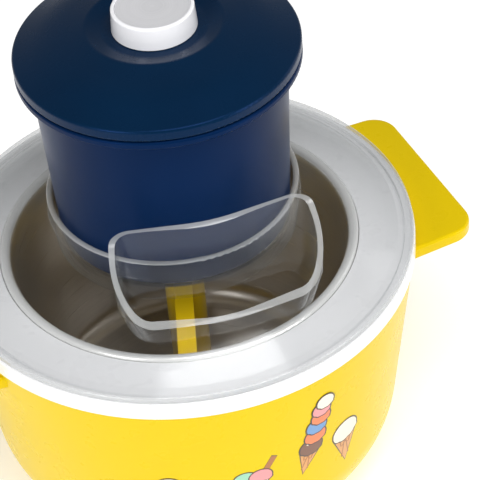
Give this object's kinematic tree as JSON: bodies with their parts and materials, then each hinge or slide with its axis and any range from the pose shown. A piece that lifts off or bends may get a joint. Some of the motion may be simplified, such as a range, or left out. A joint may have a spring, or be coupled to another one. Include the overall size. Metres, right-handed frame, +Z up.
{
  "type": "ice cream maker",
  "caption": "Freezer-bowl ice cream maker: yellow pot with flat handles, white bowl with metal liner, clear lid with chute, blue lift-off motor unit with knob, gears and paddle",
  "frame": {"origin": "on the table, under the middle of the bowl", "axes": "+Z up, the ingredient chute faces -Y (turned about 6 degrees towards -X), the two handles point along X, each set 3 degrees towards +Y"},
  "size_m": [0.2568, 0.2106, 0.2516],
  "materials": {
    "yellow_housing": "moulded glossy yellow plastic with printed ice cream motifs",
    "black_rubber": "moulded rubber",
    "white_bowl": "glossy white moulded plastic",
    "bowl_metal": "brushed aluminium with a rolled bright lip",
    "freezing_gel": "frozen gel",
    "grey_rubber": "soft grey seal rubber",
    "white_plug": "moulded plug",
    "yellow_paddle": "moulded yellow plastic",
    "clear_lid": "clear polished plastic",
    "blue_can": "satin navy blue moulded plastic",
    "blue_cover": "glossy navy blue moulded plastic",
    "blue_base": "matte navy blue plastic",
    "zinc_plate": "zinc-plated pressed steel",
    "bronze_bush": "sintered bronze",
    "nylon": "natural nylon",
    "steel": "turned steel",
    "copper_coil": "enamelled copper winding",
    "black_plastic": "black moulded plastic",
    "brass_gear": "hobbed brass",
    "ferrite": "pressed ferrite",
    "white_knob": "smooth glossy white plastic",
    "spun_metal": "spun brushed aluminium disc"
  },
  "bodies": {
    "housing": {"housing_shell": "yellow_housing", "rubber_feet": "black_rubber"},
    "bowl": {"bowl_shell": "white_bowl", "bowl_liner": "bowl_metal", "coolant_gel": "freezing_gel", "bowl_rim_seal": "grey_rubber", "bowl_fill_plug": "white_plug"},
    "paddle_body": {"paddle": "yellow_paddle"},
    "lid_body": {"lid": "clear_lid"},
    "motor_unit": {"motor_housing": "blue_can", "motor_cover": "blue_cover", "motor_base": "blue_base", "gear_plate": "zinc_plate", "output_bush": "bronze_bush", "shaft_seal": "grey_rubber", "cord_grommet": "black_rubber", "terminal_block": "nylon", "idler_axle": "steel", "stator_can": "zinc_plate", "stator_cap": "zinc_plate", "stator_coil": "copper_coil", "base_screws": "steel", "plate_screws": "steel", "motor_screws": "steel", "switch_body": "black_plastic", "switch_nut": "steel"},
    "drive_shaft": {"drive_gear": "nylon", "output_shaft": "steel", "retaining_clip": "steel"},
    "idler": {"idler_gear": "nylon"},
    "rotor": {"rotor_pinion": "brass_gear", "rotor_magnet": "ferrite", "rotor_shaft": "steel"},
    "knob": {"knob_ring": "white_knob", "knob_insert": "spun_metal", "switch_spindle": "nylon"}
  },
  "joints": [
    {"name": "bowl_lift", "type": "slide", "parent": "housing", "child": "bowl", "axis": [0, 0, 1], "range_m": [0, 0.13]},
    {"name": "paddle_spin", "type": "hinge", "parent": "bowl", "child": "paddle_body", "pos_m": [0, 0, 0.03], "axis": [0, 0, 1], "continuous": true},
    {"name": "lid_lift", "type": "slide", "parent": "bowl", "child": "lid_body", "axis": [0, 0, 1], "range_m": [0, 0.06]},
    {"name": "motor_lift", "type": "slide", "parent": "lid_body", "child": "motor_unit", "axis": [0, 0, 1], "range_m": [0, 0.05]},
    {"name": "shaft_spin", "type": "hinge", "parent": "motor_unit", "child": "drive_shaft", "pos_m": [0, 0, 0.154], "axis": [0, 0, 1], "continuous": true},
    {"name": "idler_spin", "type": "hinge", "parent": "motor_unit", "child": "idler", "pos_m": [-0.01775, 0.01775, 0.1625], "axis": [0, 0, 1], "continuous": true},
    {"name": "rotor_spin", "type": "hinge", "parent": "motor_unit", "child": "rotor", "pos_m": [0.00635, 0.01775, 0.181], "axis": [0, 0, 1], "continuous": true},
    {"name": "knob_turn", "type": "hinge", "parent": "motor_unit", "child": "knob", "pos_m": [0, 0, 0.245], "axis": [0, 0, 1], "range_deg": [-90, 0]}
  ],
  "couplings": [
    {"joint": "shaft_spin", "follows": "paddle_spin", "ratio": 1},
    {"joint": "idler_spin", "follows": "paddle_spin", "ratio": -4},
    {"joint": "rotor_spin", "follows": "paddle_spin", "ratio": 16}
  ]
}
